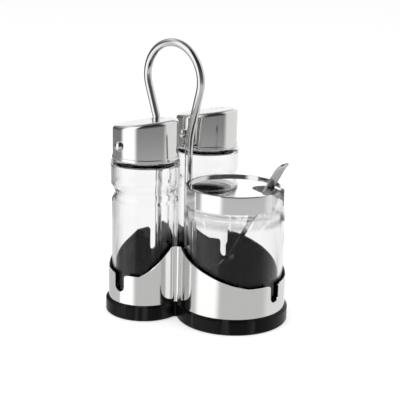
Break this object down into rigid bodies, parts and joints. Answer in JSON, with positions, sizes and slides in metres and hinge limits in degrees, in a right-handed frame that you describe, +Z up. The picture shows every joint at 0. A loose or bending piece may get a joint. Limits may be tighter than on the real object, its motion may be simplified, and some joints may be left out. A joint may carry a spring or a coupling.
{
  "type": "condiment caddy",
  "caption": "Condiment stand: black tray in a steel band with a wire loop handle, glass salt and pepper shakers with steel caps, glass jar with lid and spoon.",
  "frame": {"origin": "on the table, in the flat underside of the tray, on the axis of the spice jar", "axes": "+Z up, +Y from the jar towards the two shakers, +X towards the right-hand shaker; the stand mirrors across X = 0"},
  "size_m": [0.1136, 0.1166, 0.1802],
  "materials": {
    "tray_plastic": "moulded black plastic, soft gloss",
    "band_steel": "polished stainless steel",
    "handle_steel": "polished stainless steel",
    "fixing_steel": "zinc plated",
    "shaker_glass": "clear pressed glass",
    "cap_steel": "polished stainless steel",
    "knob_steel": "polished stainless steel",
    "sifter_plastic": "moulded black plastic, soft gloss",
    "jar_glass": "clear pressed glass",
    "lid_steel": "polished stainless steel",
    "spoon_steel": "polished stainless steel"
  },
  "bodies": {
    "stand": {"base_tray": "tray_plastic", "steel_band": "band_steel", "wire_handle": "handle_steel", "handle_washers": "fixing_steel", "handle_nuts": "fixing_steel"},
    "left_shaker": {"left_bottle": "shaker_glass"},
    "left_closure": {"left_sifter": "sifter_plastic"},
    "left_turning_cap": {"left_cap": "cap_steel", "left_knob": "knob_steel"},
    "right_shaker": {"right_bottle": "shaker_glass"},
    "right_closure": {"right_sifter": "sifter_plastic"},
    "right_turning_cap": {"right_cap": "cap_steel", "right_knob": "knob_steel"},
    "spice_jar": {"jar_glass": "jar_glass"},
    "lid": {"jar_lid": "lid_steel"},
    "spice_spoon": {"spoon": "spoon_steel"}
  },
  "joints": [
    {"name": "left_shaker_lift", "type": "slide", "parent": "stand", "child": "left_shaker", "axis": [0, 0, 1], "range_m": [0, 0.05]},
    {"name": "left_closure_pull", "type": "slide", "parent": "left_shaker", "child": "left_closure", "axis": [0, 0, 1], "range_m": [0, 0.016]},
    {"name": "left_cap_turn", "type": "hinge", "parent": "left_closure", "child": "left_turning_cap", "pos_m": [-0.0308, 0.05114, 0.1145], "axis": [0, 0, 1], "range_deg": [-90, 90]},
    {"name": "right_shaker_lift", "type": "slide", "parent": "stand", "child": "right_shaker", "axis": [0, 0, 1], "range_m": [0, 0.05]},
    {"name": "right_closure_pull", "type": "slide", "parent": "right_shaker", "child": "right_closure", "axis": [0, 0, 1], "range_m": [0, 0.016]},
    {"name": "right_cap_turn", "type": "hinge", "parent": "right_closure", "child": "right_turning_cap", "pos_m": [0.0308, 0.05114, 0.1145], "axis": [0, 0, 1], "range_deg": [-90, 90]},
    {"name": "jar_lift", "type": "slide", "parent": "stand", "child": "spice_jar", "axis": [0, 0, 1], "range_m": [0, 0.0265]},
    {"name": "lid_lift", "type": "slide", "parent": "spice_jar", "child": "lid", "axis": [0, 0, 1], "range_m": [0, 0.012]},
    {"name": "spoon_slide", "type": "slide", "parent": "spice_jar", "child": "spice_spoon", "axis": [0, -0.5, 0.866], "range_m": [0, 0.03]}
  ]
}
